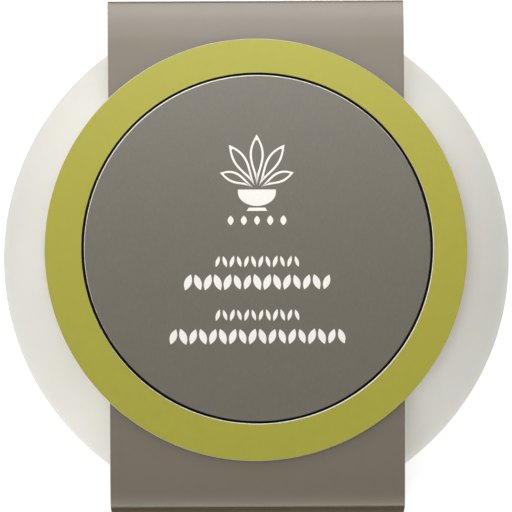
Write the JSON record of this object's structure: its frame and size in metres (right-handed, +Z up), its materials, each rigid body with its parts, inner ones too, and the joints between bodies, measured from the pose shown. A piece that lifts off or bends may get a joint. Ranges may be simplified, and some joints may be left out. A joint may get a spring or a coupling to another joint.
{
  "type": "shaving soap puck",
  "caption": "Round shaving soap puck in an open-ended folded card sleeve with a round card badge: accent ring, black carrier disc and a plain label disc.",
  "frame": {"origin": "centre of the bounding box's underside: the middle of the sleeve's flat back, on the surface it lies on", "axes": "+Z up through the badge, +Y along the sleeve towards the badge's upper edge, +X across the sleeve, along the puck's slide"},
  "size_m": [0.0624, 0.0632, 0.026],
  "materials": {
    "soap": "smooth pressed soap, slightly translucent, satin",
    "sleeve_card": "taupe printed folding boxboard, satin coated, white core",
    "ring_card": "lime green printed board, satin coated, white core",
    "label_card": "taupe felt-marked uncoated board, white core",
    "black_card": "black dyed card, matte",
    "glue": "dried dispersion glue",
    "print_ink": "opaque cream-white screen print"
  },
  "bodies": {
    "sleeve": {"front_panel": "sleeve_card", "upper_side_panel": "sleeve_card", "lower_side_panel": "sleeve_card", "back_panel": "sleeve_card", "seam_flap": "sleeve_card", "seam_glue": "glue", "backing_glue": "glue", "backing_disc": "black_card", "ring_glue": "glue", "accent_ring": "ring_card", "label_glue": "glue", "label_disc": "label_card"},
    "puck": {"soap_puck": "soap"}
  },
  "joints": [
    {"name": "puck_slide", "type": "slide", "parent": "sleeve", "child": "puck", "axis": [1, 0, 0], "range_m": [-0.06, 0.06]}
  ]
}
